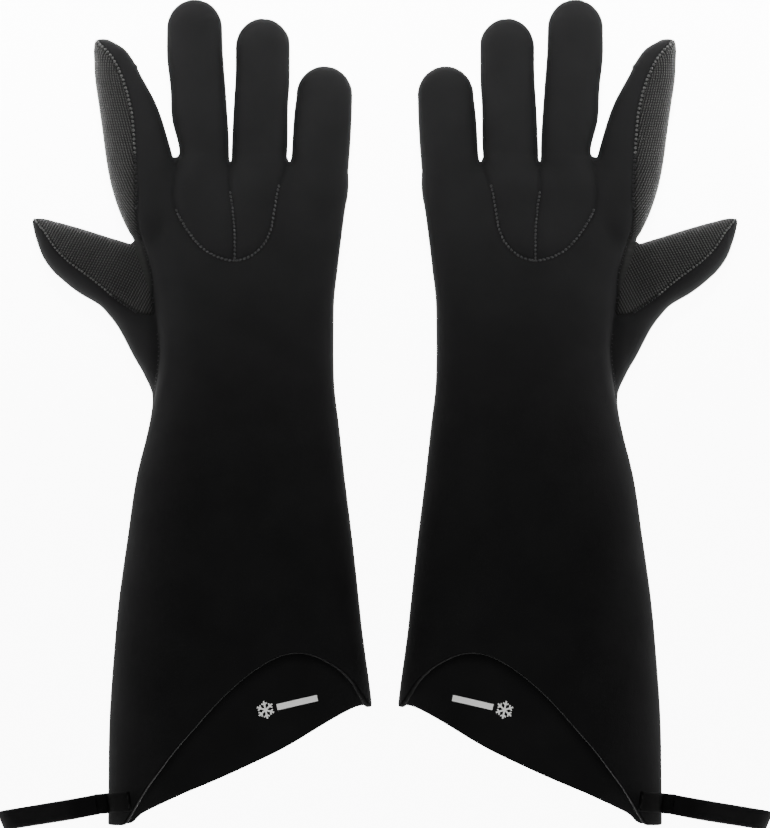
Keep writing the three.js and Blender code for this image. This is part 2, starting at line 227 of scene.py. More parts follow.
def line_distance(points, line):
    """Signed distance on the plan from each point to a line, positive on its right-hand side."""
    best = np.full(len(points), np.inf)
    signed = np.zeros(len(points))
    for a, b in zip(line, line[1:]):
        ab = b - a
        ap = points[:, :2] - a
        share = np.clip(ap @ ab / (ab @ ab), 0, 1)
        away = np.linalg.norm(ap - share[:, None] * ab, axis=1)
        side = np.sign(ap[:, 0] * ab[1] - ap[:, 1] * ab[0])
        nearer = away < best - 1e-9
        best[nearer] = away[nearer]
        signed[nearer] = (away * side)[nearer]
    return signed


def zone_distance(points, corners):
    """Negative inside a convex outline on the plan whose corners go anticlockwise."""
    c = np.asarray(corners, float)
    result = np.full(len(points), -np.inf)
    for a, b in zip(c, np.roll(c, -1, axis=0)):
        along = (b - a) / np.linalg.norm(b - a)
        right = np.array([along[1], -along[0]])
        result = np.maximum(result, (points[:, :2] - a) @ right)
    return result


def step(x, low, high):
    t = np.clip((x - low) / (high - low), 0, 1)
    return t * t * (3 - 2 * t)


def thumb_coordinates(points):
    rel = points - THUMB_AT
    return rel @ THUMB_ALONG, rel @ THUMB_ACROSS


# ---- the fields that the skin is cut along: each is zero on a seam, hem or bend ----
LINES = {name: smooth_line(points) for name, points in SEAM_POINTS.items()}
THUMB_WEAVE = [(-114.4, 40), (-136.9, 104), (-230, 104), (-230, 40)]  # outline of the thumb's fabric
TURNED_EDGE_TOP = 93.0


def back_field(p):
    """Positive on the back of the glove, negative on its palm side."""
    above = p[:, 2] - np.interp(p[:, 1], *np.transpose(SIDE_SEAM))
    return np.minimum(above, line_distance(p, LINES["index"]))


def hem_field(p):
    """Positive on the glove, negative where the cuff is cut away."""
    back, palm = (np.interp(p[:, 0], *LINES[name].T) for name in ("back_hem", "palm_hem"))
    share = step(p[:, 2], *HEM_HEIGHTS)
    return p[:, 1] - (palm + (back - palm) * share)


def thumb_zone_field(p):
    s, c = thumb_coordinates(p)
    return zone_distance(np.column_stack([s, c]), THUMB_ZONE)


def finger_distances(p):
    """One row for each finger: how far each point is outside its zone, negative inside."""
    return np.array([zone_distance(p, zone) for zone in FINGER_ZONES.values()])


def fingers_field(p):
    return finger_distances(p).min(axis=0)


# ---- the skin: forms, joined and settled ----
def with_round_tip(stations, length, steps=24):
    """Adds the sections of a round fingertip: a quarter ellipse of that length."""
    s, low, high, under, top = stations[-1]
    middle = np.array([(low + high) / 2, (under + top) / 2])
    reach = np.array([(high - low) / 2, (top - under) / 2])
    tip = []
    for angle in np.linspace(0, math.pi / 2, steps + 1)[1:]:
        a, b = reach * max(math.cos(angle), 0.06)
        share = math.sin(angle)
        tip.append((s + share * length, middle[0] - a, middle[0] + a, middle[1] - b, middle[1] + b))
    return stations + tip


def dense(stations, spacing=1.5):
    """The same sections on a smooth curve, with more of them."""
    table = np.asarray(stations, float)
    s = table[:, 0]
    slope = np.gradient(table[:, 1:], s, axis=0)
    rows = [table[0]]
    for i in range(len(s) - 1):
        gap = s[i + 1] - s[i]
        for t in np.linspace(0, 1, max(2, int(gap / spacing) + 1))[1:]:
            rise = 3 * t**2 - 2 * t**3
            between = table[i, 1:] * (1 - rise) + table[i + 1, 1:] * rise
            bent = (t**3 - 2 * t**2 + t) * gap * slope[i] + (t**3 - t**2) * gap * slope[i + 1]
            rows.append(np.concatenate([[s[i] + t * gap], between + bent]))
    return np.array(rows)


def superellipse(wide, tall):
    """1 on the outline of a section, less than 1 inside it."""
    return (np.abs(wide) ** ROUND + np.abs(tall) ** ROUND) ** (1 / ROUND)


class Form:
    """A rounded body through sections along a line, cut off flat at the table."""

    def __init__(self, stations, at=np.zeros(3), along=np.array([0.0, 1, 0]), across=np.array([1.0, 0, 0])):
        self.table = np.asarray(stations)
        self.at, self.along, self.across = at, along, across

    def mesh(self):
        turn = np.linspace(0, 2 * math.pi, SECTION_POINTS, endpoint=False)
        side = np.sign(np.cos(turn)) * np.abs(np.cos(turn)) ** (2 / ROUND)
        rise = np.sign(np.sin(turn)) * np.abs(np.sin(turn)) ** (2 / ROUND)
        points = []
        for s, low, high, under, top in self.table:
            wide = (low + high) / 2 + (high - low) / 2 * side
            tall = np.maximum((under + top) / 2 + (top - under) / 2 * rise, 0)
            points.append(self.at + s * self.along + np.outer(wide, self.across) + np.outer(tall, [0, 0, 1]))
        n = SECTION_POINTS
        faces = []
        for ring in range(len(points) - 1):
            for i in range(n):
                j = (i + 1) % n
                faces.append((ring * n + j, ring * n + i, (ring + 1) * n + i, (ring + 1) * n + j))
        faces.append(tuple(range(n)))
        faces.append(tuple(range(len(points) * n - 1, (len(points) - 1) * n - 1, -1)))
        return np.vstack(points), faces

    def level(self, points):
        """Negative inside the sections and positive outside, zero on the surface."""
        local = points - self.at
        s = local @ self.along
        low, high, under, top = (np.interp(s, self.table[:, 0], self.table[:, k]) for k in (1, 2, 3, 4))
        wide = (2 * (local @ self.across) - low - high) / (high - low)
        tall = (2 * points[:, 2] - under - top) / (top - under)
        return superellipse(wide, tall) - 1

    def distance(self, points):
        """Close to the surface, how far each point is from it, negative inside."""
        slopes = []
        for axis in np.eye(3):
            slopes.append((self.level(points + 0.1 * axis) - self.level(points - 0.1 * axis)) / 0.2)
        away = self.level(points) / np.maximum(np.linalg.norm(slopes, axis=0), 1e-3)
        s = (points - self.at) @ self.along
        ends = np.maximum(self.table[0, 0] - s, s - self.table[-1, 0])
        return np.maximum(np.maximum(away, ends), -points[:, 2])


def fanned(stations, share):
    """A finger's sections moved sideways, more so towards the fingertip."""
    table = np.array(stations)
    table[:, 1:3] += (share * FAN * step(table[:, 0], *FAN_RAMP))[:, None]
    return table


def unfanned(points):
    """Brings the spread fingers together again: only the gaps between them get narrower."""
    x, y = points[:, 0], points[:, 1]
    spread = FAN * step(y, *FAN_RAMP)
    reach = spread + 1.2
    middle_side = np.clip((FAN_GAPS[0] - spread / 2 - x) / reach + 0.5, 0, 1)
    little_side = np.clip((x - FAN_GAPS[1] - spread / 2) / reach + 0.5, 0, 1)
    return points + np.outer(spread * (middle_side - little_side), [1, 0, 0])


def glove_forms():
    forms = [Form(dense(SLEEVE_AND_HAND)), Form(dense(HEEL))]
    forms.append(Form(dense(THUMB), THUMB_AT, THUMB_ALONG, THUMB_ACROSS))
    for name, stations in FINGERS.items():
        sections = dense(stations)
        if name in TIP_LENGTHS:
            sections = with_round_tip(sections.tolist(), TIP_LENGTHS[name])
        forms.append(Form(fanned(sections, FAN_SHARE[name])))
    return forms


def in_scene(name, data):
    obj = bpy.data.objects.new(name, data)
    bpy.context.collection.objects.link(obj)
    return obj


def joined_skin(forms):
    """One closed skin round all the forms, as points and triangles."""
    bm = bmesh.new()
    for points, faces in (form.mesh() for form in forms):
        made = [bm.verts.new(p * MM) for p in points]
        for face in faces:
            bm.faces.new([made[i] for i in face])
    mesh = bpy.data.meshes.new("forms")
    bm.to_mesh(mesh)
    bm.free()
    obj = in_scene("forms", mesh)
    remesh = obj.modifiers.new("join", "REMESH")
    remesh.mode = "VOXEL"
    remesh.voxel_size = VOXEL * MM
    joined = obj.evaluated_get(bpy.context.evaluated_depsgraph_get()).to_mesh()
    joined.calc_loop_triangles()
    points = np.array([v.co for v in joined.vertices]) / MM
    triangles = np.array([t.vertices for t in joined.loop_triangles])
    bpy.data.objects.remove(obj)
    bpy.data.meshes.remove(mesh)
    return points, triangles


def unit(vectors):
    return vectors / np.maximum(np.linalg.norm(vectors, axis=1, keepdims=True), 1e-12)


def triangle_sides(triangles):
    return np.concatenate([triangles[:, [0, 1]], triangles[:, [1, 2]], triangles[:, [2, 0]]])


def neighbour_mean(points, triangles):
    """For each point, the mean of its neighbours."""
    pairs = np.unique(np.sort(triangle_sides(triangles), axis=1), axis=0)
    ends = np.concatenate([pairs, pairs[:, ::-1]])
    count = np.bincount(ends[:, 0], minlength=len(points))[:, None]
    sums = [np.bincount(ends[:, 0], points[ends[:, 1], k], len(points)) for k in range(3)]
    return np.column_stack(sums) / count


def point_normals(points, triangles):
    a, b, c = (points[triangles[:, k]] for k in range(3))
    area = np.cross(b - a, c - a)
    n = len(points)
    total = [sum(np.bincount(triangles[:, k], area[:, i], n) for k in range(3)) for i in range(3)]
    return unit(np.column_stack(total))


class Skin:
    """Points and triangles, with a note of the side of each cut that a triangle lies on."""

    def __init__(self, points, triangles):
        self.points = points
        self.triangles = triangles
        self.side = {}
        self.on_line = {}

    def cut(self, name, field):
        """Splits the triangles that field's zero crosses. side[name] is then +1 or -1 for each triangle."""
        f = field(self.points)
        f = np.where(np.abs(f) < 1e-4, 1e-4, f)
        positive = f[self.triangles] > 0
        count = positive.sum(axis=1)
        mixed = (count == 1) | (count == 2)
        lone = np.argmax(positive[mixed] == (count[mixed] == 1)[:, None], axis=1)
        order = (lone[:, None] + np.arange(3)) % 3
        a, b, c = np.take_along_axis(self.triangles[mixed], order, axis=1).T
        pairs = np.sort(np.concatenate([np.column_stack([a, b]), np.column_stack([a, c])]), axis=1)
        edges, index = np.unique(pairs, axis=0, return_inverse=True)
        low, high = edges.T
        share = (f[low] / (f[low] - f[high]))[:, None]
        made = self.points[low] * (1 - share) + self.points[high] * share
        m, n = (len(self.points) + index.reshape(-1)).reshape(2, -1)
        new = np.concatenate([np.column_stack(x) for x in ((a, m, n), (m, b, c), (m, c, n))])
        tip = np.where(f[a] > 0, 1, -1)
        whole = np.where(count[~mixed] == 3, 1, -1)
        self.points = np.vstack([self.points, made])
        self.triangles = np.vstack([self.triangles[~mixed], new])
        for key, side in self.side.items():
            self.side[key] = np.concatenate([side[~mixed], np.tile(side[mixed], 3)])
        for key, flag in self.on_line.items():
            self.on_line[key] = np.concatenate([flag, flag[low] & flag[high]])
        self.side[name] = np.concatenate([whole, tip, -tip, -tip])
        self.on_line[name] = np.arange(len(self.points)) >= len(self.points) - len(made)

    def keep(self, chosen):
        """Drops the triangles that aren't chosen."""
        self.triangles = self.triangles[chosen]
        self.side = {key: side[chosen] for key, side in self.side.items()}


SEAM_FIELDS = {
    "back": back_field,
    "thumb": lambda p: line_distance(p, LINES["thumb"]),
    "knuckle": lambda p: line_distance(p, LINES["knuckle"]),
    "midline": lambda p: line_distance(p, LINES["midline"]),
}


def seam_strengths(p):
    """For each seam, how far each point is from it, and how deep the seam is drawn in there."""
    d = {name: field(p) for name, field in SEAM_FIELDS.items()}
    palm_side = step(-d["back"], -0.5, 2.0)
    back_side = step(d["back"], 0, 4.0)
    up_finger = step(p[:, 1], 131, 137)
    inside = step(-d["knuckle"], -1, 1)
    beyond_cuff = step(p[:, 1], -222, -214)
    return {
        "back": (d["back"], beyond_cuff),
        "thumb": (d["thumb"], palm_side * step(p[:, 1], 30, 40)),
        "knuckle": (d["knuckle"], back_side * (1 - up_finger)),
        "midline": (d["midline"], back_side * (1 - up_finger) * inside),
    }


def ripple(p):
    """Slow undulation of the soft sheet, about 0.3 mm either way."""
    x, y, z = p.T
    waves = np.sin(x / 17 + 1.3 * np.sin(y / 41)) * np.sin(y / 29 + 0.8)
    return 0.22 * waves + 0.12 * np.sin(x / 7.5 + y / 13 + z / 9)


def settle(points, triangles, forms):
    """Moves the skin onto the smooth union of the forms, which takes the remesh's steps out of it."""
    for _ in range(SETTLE_STEPS):
        for _ in range(RELAX_STEPS):
            points = points + 0.5 * (neighbour_mean(points, triangles) - points)
        union = np.full(len(points), 99.0)
        for form in forms:
            away = form.distance(points)
            close = np.maximum(FILLET - np.abs(away - union), 0) / FILLET
            union = np.minimum(away, union) - close**2 * FILLET / 4
        points = points - point_normals(points, triangles) * np.clip(union, -1.5, 1.5)[:, None]
    return points


def make_skin():
    forms = glove_forms()
    points, triangles = joined_skin(forms)
    skin = Skin(unfanned(settle(points, triangles, forms)), triangles)
    for name, field in SEAM_FIELDS.items():
        for offset in (-SEAM_HALF_WIDTH, SEAM_HALF_WIDTH):
            skin.cut("beside", lambda p: field(p) - offset)
        skin.cut(name, field)
    skin.cut("fingers", fingers_field)
    skin.cut("thumb_zone", thumb_zone_field)
    skin.cut("thumb_weave", lambda p: zone_distance(p, THUMB_WEAVE))
    skin.cut("turned_edge", lambda p: p[:, 1] - TURNED_EDGE_TOP)
    for edge, y in zip(("below_wrist", "above_wrist"), WRIST_EDGES):
        skin.cut(edge, lambda p: p[:, 1] - y)
    skin.cut("hem", hem_field)
    skin.keep(skin.side["hem"] > 0)
    return skin


def shape_seams(skin):
    """Draws the seams in, raises the knuckle inserts and adds the sheet's undulation."""
    p = skin.points
    normals = point_normals(p, skin.triangles)
    move = ripple(p)
    nearest = np.full(len(p), 99.0)
    for distance, strength in seam_strengths(p).values():
        away = np.abs(distance)
        move -= SEAM_DEPTH * strength * (1 - step(away, 0, SEAM_HALF_WIDTH * 1.6))
        move += SEAM_PUFF * strength * np.exp(-(((away - PUFF_AT) / PUFF_WIDTH) ** 2))
        nearest = np.minimum(nearest, away + 99 * (strength < 0.5))
    knuckle, strength = seam_strengths(p)["knuckle"]
    move += INSERT_RISE * strength * step(-knuckle, 0, 7) * (1 - step(-knuckle, 7, 30))
    below = step(DIMPLE_TOP - p[:, 1], 0, 12)
    move -= DIMPLE * strength * below * step(knuckle, 0.5, 3) * (1 - step(knuckle, 3, 16))
    skin.points = p + normals * move[:, None]
    skin.points[:, 2] = np.maximum(skin.points[:, 2], 0)
    skin.seam_distance = nearest


def thickened(skin):
    """Gives the skin its sheet thickness: the outer face, the inner face and a rounded edge round the cuff.

    Returns points, triangles, the index of the outer triangle that each comes from, and each one's face:
    0 outer, 1 inner, 2 cut edge.
    """
    outer, t = skin.points, skin.triangles
    normals = point_normals(outer, t)
    inner = outer - unit(neighbour_mean(normals, t)) * WALL
    sides = triangle_sides(t)
    owner = np.tile(np.arange(len(t)), 3)
    keys = np.sort(sides, axis=1) @ np.array([len(outer), 1])
    _, first, uses = np.unique(keys, return_index=True, return_counts=True)
    border, border_owner = sides[first[uses == 1]], owner[first[uses == 1]]
    rim_points = np.unique(border)
    away = np.zeros_like(outer)
    for u, v in border:
        out = np.cross(outer[v] - outer[u], normals[u] + normals[v])
        away[u] += out
        away[v] += out
    out = unit(away[rim_points])
    middle = (outer[rim_points] + inner[rim_points]) / 2
    rows = [rim_points]
    points = [outer, inner]
    total = 2 * len(outer)
    for angle in np.linspace(0, math.pi, 6)[1:-1]:
        lift = normals[rim_points] * math.cos(angle) * WALL / 2
        points.append(middle + lift + out * math.sin(angle) * WALL * RIM_BULGE)
        rows.append(np.arange(total, total + len(rim_points)))
        total += len(rim_points)
    rows.append(rim_points + len(outer))
    order = np.searchsorted(rim_points, border)
    strips = []
    for near, far in zip(rows, rows[1:]):
        u, v = near[order].T
        w, x = far[order].T
        strips.append(np.column_stack([v, u, w]))
        strips.append(np.column_stack([v, w, x]))
    rim = np.vstack(strips)
    triangles = np.vstack([t, t[:, ::-1] + len(outer), rim])
    source = np.concatenate([np.arange(len(t)), np.arange(len(t)), np.tile(border_owner, len(strips))])
    face = np.repeat([0, 1, 2], [len(t), len(t), len(rim)])
    return np.vstack(points), triangles, source, face


def panel_names(skin):
    """The CAD node, less its side prefix, that each triangle of the skin stands for."""
    middle = skin.points[skin.triangles].mean(axis=1)
    back = skin.side["back"] > 0
    grip = skin.side["thumb"] > 0
    panel = np.where(grip, "palm_grip_panel", "palm_heel_panel").astype(object)
    panel[back] = "hand_back_panel"
    insert = back & (skin.side["knuckle"] < 0)
    panel[insert & (skin.side["midline"] < 0)] = "middle_knuckle_insert"
    panel[insert & (skin.side["midline"] > 0)] = "ring_knuckle_insert"
    below = skin.side["below_wrist"] < 0
    panel[below & back] = "gauntlet_back_panel"
    panel[below & ~back] = "gauntlet_palm_panel"
    panel[~below & (skin.side["above_wrist"] < 0)] = "wrist_band"
    thumb = skin.side["thumb_zone"] < 0
    panel[thumb & grip] = "thumb_grip"
    panel[thumb & ~grip] = "thumb_back"
    which = finger_distances(middle).argmin(axis=0)
    for i, name in enumerate(FINGER_ZONES):
        mine = (skin.side["fingers"] < 0) & (which == i)
        panel[mine & back] = name + "_finger_back"
        panel[mine & ~back] = name + "_finger_grip"
    return panel


# ---- the weave: where each point lies on the flat grip fabric, in millimetres ----
HAND_ROUND = (14.0, 13.0)  # the fabric's bend round the side of the hand: height of its centre, and radius
THUMB_ROUND = (13.0, 11.0)
PALM_FABRIC_END = -20.0
TURNED_TONE = 0.21  # the turned edge lies this far across a square, as a share of the pitch
TURNED_ROWS = 2.0  # and its rows are this many times as close


def unrolled(wide, tall, low, high, centre, radius):
    """Distance round a section: flat underneath, and round at both sides up to the top."""
    result = wide.copy()
    left = wide < low + radius
    turn = np.arctan2(tall - centre, np.maximum(low + radius - wide, 1e-3)) + math.pi / 2
    beyond = np.hypot(low + radius - wide, tall - centre) - radius
    arc = turn * (radius + np.maximum(beyond, 0) * np.clip(1 - 2 * turn / math.pi, 0, 1))
    result[left] = (low + radius - arc)[left]
    right = wide > high - radius
    turn = np.arctan2(tall - centre, np.maximum(wide - high + radius, 1e-3)) + math.pi / 2
    result[right] = (high - radius + radius * turn)[right]
    on_top = ~left & (tall > centre) & (wide < (low + high) / 2)
    result[on_top] = (low + radius - radius * math.pi - (wide - low - radius))[on_top]
    return result


def weave_coordinates(p):
    """Three layouts: for the hand and index finger, for the thumb, and for the turned edge.

    The columns go along the index finger and the hand, but across the thumb. The fabric's stretched edge
    beside the back panel has close rows and no columns.
    """
    edges = np.array([(y, low) for y, low, *_ in SLEEVE_AND_HAND[6:12] + INDEX[2:9]])
    low = np.interp(p[:, 1], edges[:, 0], edges[:, 1])
    hand_u = unrolled(p[:, 0], p[:, 2], low, np.full(len(p), PALM_FABRIC_END), *HAND_ROUND)
    s, c = thumb_coordinates(p)
    table = np.array(THUMB)
    thumb_low, thumb_high = (np.interp(s, table[:, 0], table[:, k]) for k in (1, 2))
    thumb_u = unrolled(c, p[:, 2], thumb_low, thumb_high, *THUMB_ROUND)
    centre, radius = THUMB_ROUND
    over_top = (p[:, 2] > centre) & (c < thumb_high - radius)
    thumb_u[over_top] = (2 * (thumb_high - radius) + radius * math.pi - c)[over_top]
    turned = np.column_stack([np.full(len(p), TURNED_TONE * WEAVE_PITCH), TURNED_ROWS * p[:, 1]])
    return np.column_stack([hand_u, p[:, 1]]), np.column_stack([s, thumb_u]), turned


def weave_zone(skin):
    """Which of the three layouts each triangle takes."""
    middle = skin.points[skin.triangles].mean(axis=1)
    beside_back = (middle[:, 2] > 15) & (line_distance(middle, LINES["index"]) > -5.5)
    zone = np.where(beside_back & (skin.side["turned_edge"] < 0), 2, 0)
    zone[skin.side["thumb_weave"] < 0] = 1
    return zone


# ---- meshes ----
def mirrored(points):
    return points * np.array([-1, 1, 1])


def new_mesh(name, points, triangles, side, normals=None):
    """A mesh of the right-hand glove's piece, or of its mirror image for the left-hand glove."""
    if side == "left":
        points = mirrored(points)
        triangles = triangles[:, ::-1]
        normals = None if normals is None else mirrored(normals)
    mesh = bpy.data.meshes.new(name)
    mesh.from_pydata((points * MM).tolist(), [], triangles.tolist())
    mesh.polygons.foreach_set("use_smooth", [True] * len(triangles))
    if normals is not None:
        mesh.normals_split_custom_set_from_vertices(normals.tolist())
    return in_scene(name, mesh)


def hang_on(obj, panel, side):
    """Attaches a knuckle insert or the palm grip panel to its side's hand body; every other piece stays in
    place with its transform applied.
    """
    hand = side + "_hand"
    finger = panel.split("_")[0]
    if finger in FINGERS and "insert" not in panel:
        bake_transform(obj)
    elif finger == "thumb":
        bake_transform(obj)
    elif finger in ("gauntlet", "wrist", "hand") or panel == "palm_heel_panel":
        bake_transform(obj)
    else:
        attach(obj, hand)


# ---- seam thread: one short stitch after another along the seam ----
STITCH_SLANT = math.radians(20)
LOOK_AHEAD = 0.4  # a path's direction is taken between points this far ahead and behind


def line_paths(skin, name, wanted):
    """The open or closed runs of points along a cut, where wanted says True."""
    on = skin.on_line[name] & wanted
    sides = triangle_sides(skin.triangles)
    sides = np.unique(np.sort(sides[on[sides].all(axis=1)], axis=1), axis=0)
    beside = {}
    for u, v in sides.tolist():
        beside.setdefault(u, set()).add(v)
        beside.setdefault(v, set()).add(u)
    starts = sorted(beside, key=lambda v: (len(beside[v]) != 1, v))
    paths = []
    for start in starts:
        path = [start]
        while beside[path[-1]]:
            nearest = min(beside[path[-1]])
            beside[path[-1]].discard(nearest)
            beside[nearest].discard(path[-1])
            path.append(nearest)
        if len(path) > 3:
            paths.append(path)
    return paths


def evenly(points, spacing):
    """Points at an even spacing along a path, and its direction at each."""
    gaps = np.linalg.norm(np.diff(points, axis=0), axis=1)
    travelled = np.concatenate([[0], np.cumsum(gaps)])
    wanted = np.arange(spacing / 2, travelled[-1], spacing)

    def at(distances):
        return np.column_stack([np.interp(distances, travelled, column) for column in points.T])

    return at(wanted), unit((at(wanted + LOOK_AHEAD) - at(wanted - LOOK_AHEAD))[:, :3])


def bead_template(around=6, rings=4):
    """The points and triangles of a unit ball."""
    bm = bmesh.new()
    half_segment = Matrix.Rotation(math.pi / around, 4, "Z")
    bmesh.ops.create_uvsphere(bm, u_segments=around, v_segments=rings, radius=1, matrix=half_segment)
    bmesh.ops.triangulate(bm, faces=bm.faces)
    bm.verts.index_update()
    points = np.array([v.co for v in bm.verts])
    triangles = np.array([[v.index for v in face.verts] for face in bm.faces])
    bm.free()
    return points, triangles


BEAD, BEAD_TRIANGLES = bead_template()


def stitches(skin, name, wanted, pitch, size):
    """The middle of each stitch along a cut, where wanted says True, and the points of its thread."""
    normals = point_normals(skin.points, skin.triangles)
    centres, points = [], []
    for path in line_paths(skin, name, wanted):
        at, along = evenly(np.column_stack([skin.points[path], normals[path]]), pitch)
        for spot, ahead in zip(at, along):
            up = spot[3:] / np.linalg.norm(spot[3:])
            across = np.cross(ahead, up)
            across /= np.linalg.norm(across)
            long_way = across * math.cos(STITCH_SLANT) + ahead * math.sin(STITCH_SLANT)
            axes = np.array([long_way * size[0], np.cross(up, long_way) * size[1], up * size[2]])
            centres.append(spot[:3] + up * (SEAM_DEPTH * 0.45))
            points.append(centres[-1] + BEAD @ axes)
    return np.array(centres), points


# ---- straps ----
def strap_section(width, thick, steps=5):
    """A flat section with round edges: points (across, up)."""
    r = thick / 2
    turn = np.linspace(-math.pi / 2, math.pi / 2, steps)
    right = np.column_stack([width / 2 - r + r * np.cos(turn), r * np.sin(turn)])
    middle = np.column_stack([np.linspace(width / 2 - r, r - width / 2, 6)[1:-1], np.full(4, r)])
    half = np.vstack([right, middle])
    return np.vstack([half, -half])


def swept(path, across, section):
    """A closed band along a path. across is the direction of the section's width at each point."""
    across = unit(across)
    up = unit(np.cross(across, unit(np.gradient(path, axis=0))))
    n = len(section)
    points = np.vstack([p + section[:, :1] * a + section[:, 1:] * u for p, a, u in zip(path, across, up)])
    triangles = []
    for ring in range(len(path) - 1):
        for i in range(n):
            a, b = ring * n + i, ring * n + (i + 1) % n
            triangles += [(a, a + n, b + n), (a, b + n, b)]
    end = (len(path) - 1) * n
    for i in range(1, n - 1):
        triangles += [(0, i, i + 1), (end, end + i + 1, end + i)]
    return points, np.array(triangles)


LOOP_AT = np.array([-149.6, -203.91, 30.0])  # where the loop swings, as in the record
LOOP_TURN = math.radians(8)
LOOP_OUT = np.array([-math.cos(LOOP_TURN), -math.sin(LOOP_TURN), 0])
LOOP_DROOP = 0.036  # how far it hangs sideways, as a share of the distance out
LOOP_ASKEW = 0.7  # how far its lower layer lies beside the upper one
LOOP_LEAN = 0.28
STRAP_WIDTH = 10.6
STRAP_THICK = 2.1
# Side view of the loop: distance out from its root, and height above it.
LOOP_PATH = [
    (0, 0.5), (7, 1.4), (15, 0.8), (29, -4.4), (41, -9.4), (48, -12.8), (51.6, -17), (49.6, -20.8),
    (43.6, -21.8), (38, -20.8), (28, -15.4), (14, -6), (6, -2.6), (0, -0.9),
]
# Where the sewn end of the strap lies on the cuff, from its inner end to the loop's root.
TAB_PATH = [(-132.4, -201.9), (-136.0, -202.3), (-140.0, -202.8), (-143.5, -203.2)]
TAB_OVER_EDGE = [np.array([-146.6, -203.5, 32.6]), LOOP_AT + np.array([-1.0, 0.1, 0.7])]
TAB_ACROSS = np.array([0.14, -0.99, 0.0])


def loop_geometry():
    wide = np.cross(LOOP_OUT, [0, 0, 1.0])
    side_view = smooth_line(LOOP_PATH, 5)
    path = LOOP_AT + side_view[:, :1] * LOOP_OUT + side_view[:, 1:] * np.array([0, 0, 1.0])
    share = np.linspace(0, 1, len(path))
    # Both layers droop sideways, and the lower one lies a little askew under the upper one.
    askew = step(share, 0.35, 0.62) * (1 - step(share, 0.75, 1.0))
    path -= (LOOP_DROOP * side_view[:, 0] + LOOP_ASKEW * askew)[:, None] * wide
    lean = LOOP_LEAN * np.sin(share * math.pi)
    across = wide + lean[:, None] * LOOP_OUT
    return swept(path, across, strap_section(STRAP_WIDTH, STRAP_THICK))


def tab_geometry(tree):
    """The sewn end of the strap: it lies on the cuff and goes over its edge."""
    lift = STRAP_THICK / 2 + 0.1
    path = []
    for x, y in TAB_PATH:
        hit, normal, _, _ = tree.ray_cast(Vector((x, y, 90)), Vector((0, 0, -1)))
        path.append(np.array(hit) + np.array(normal) * lift)
    smooth = smooth_line(path + TAB_OVER_EDGE, 4)
    across = np.tile(TAB_ACROSS, (len(smooth), 1))
    return swept(smooth, across, strap_section(STRAP_WIDTH, STRAP_THICK))


# ---- the printed mark: a plain six-armed snowflake and a bar ----
MARK_AT = np.array([-51.6, -152.9])
MARK_TURN = math.radians(13)
MARK_LIFT = 0.07  # the print lies this far above the cloth
SNOWFLAKE_AT = np.array([-11.4, 0])
ARM_LENGTH, ARM_WIDTH = 4.7, 0.85
BRANCH_FROM, BRANCH_LENGTH, BRANCH_WIDTH = 2.7, 1.7, 0.7
BAR_FROM, BAR_TO, BAR_WIDTH = -5.2, 16.6, 3.2


def direction(turn):
    return np.array([math.cos(turn), math.sin(turn)])


def mark_bars():
    """(start, end, width) of each bar, in the mark's own millimetres, with the snowflake on the left."""
    bars = []
    for arm in range(6):
        turn = arm * math.pi / 3 + math.pi / 6
        out = direction(turn)
        bars.append((SNOWFLAKE_AT, SNOWFLAKE_AT + out * ARM_LENGTH, ARM_WIDTH))
        fork = SNOWFLAKE_AT + out * BRANCH_FROM
        for lean in (-math.pi / 3, math.pi / 3):
            bars.append((fork, fork + direction(turn + lean) * BRANCH_LENGTH, BRANCH_WIDTH))
    bars.append((np.array([BAR_FROM, 0]), np.array([BAR_TO, 0]), BAR_WIDTH))
    return bars


def mark_geometry(tree):
    """The mark's bars, laid on the inside face of the cuff."""
    points, triangles = [], []
    turn = np.column_stack([direction(MARK_TURN), direction(MARK_TURN + math.pi / 2)])
    for index, (start, end, width) in enumerate(mark_bars()):
        along = (end - start) / np.linalg.norm(end - start)
        across = np.array([-along[1], along[0]]) * width / 2
        count = max(3, int(np.linalg.norm(end - start) / 1.2) + 1)
        first = len(points)
        for share in np.linspace(0, 1, count):
            for sign in (-1, 0, 1):
                x, y = MARK_AT + turn @ (start + (end - start) * share + sign * across)
                hit, normal, _, _ = tree.ray_cast(Vector((x, y, 90)), Vector((0, 0, -1)))
                points.append(np.array(hit) + np.array([0, 0, MARK_LIFT + 0.004 * index]))
        for row in range(count - 1):
            for column in range(2):
                a = first + row * 3 + column
                triangles += [(a, a + 3, a + 4), (a, a + 4, a + 1)]
    return np.array(points), np.array(triangles)


# ---- materials ----
def scaled(colour, factor):
    return tuple(factor * v for v in colour)


